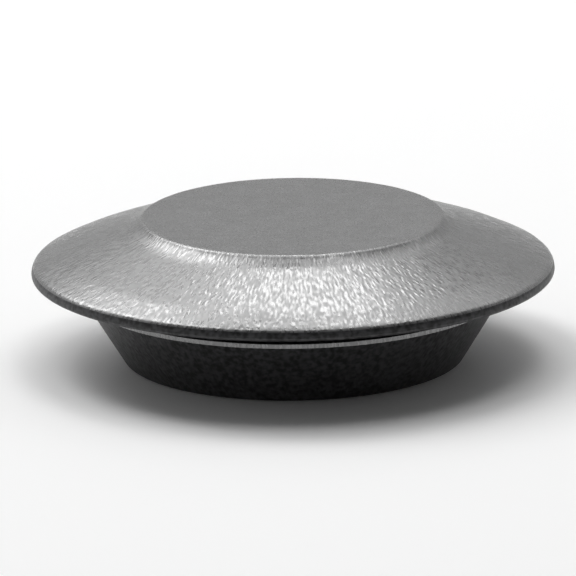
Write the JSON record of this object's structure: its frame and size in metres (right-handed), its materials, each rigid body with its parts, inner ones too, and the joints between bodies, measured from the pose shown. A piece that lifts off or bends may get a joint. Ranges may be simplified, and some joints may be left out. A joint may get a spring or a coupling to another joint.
{
  "type": "plastic hole plug",
  "caption": "Round snap-in hole plug with a raised flat-topped head, a wide thin flange and a hollow tapered skirt, for closing a hole in sheet metal.",
  "frame": {"origin": "centre of the nose's rim, the flat ring that the plug stands on", "axes": "+Z along the plug's axis, out of the panel through the middle of the head"},
  "size_m": [0.0445, 0.0444, 0.0123],
  "materials": {
    "plug_plastic": "black polyethylene with a fine moulded grain on the head and a smoother skirt"
  },
  "bodies": {
    "root": {"plug": "plug_plastic"}
  },
  "joints": []
}
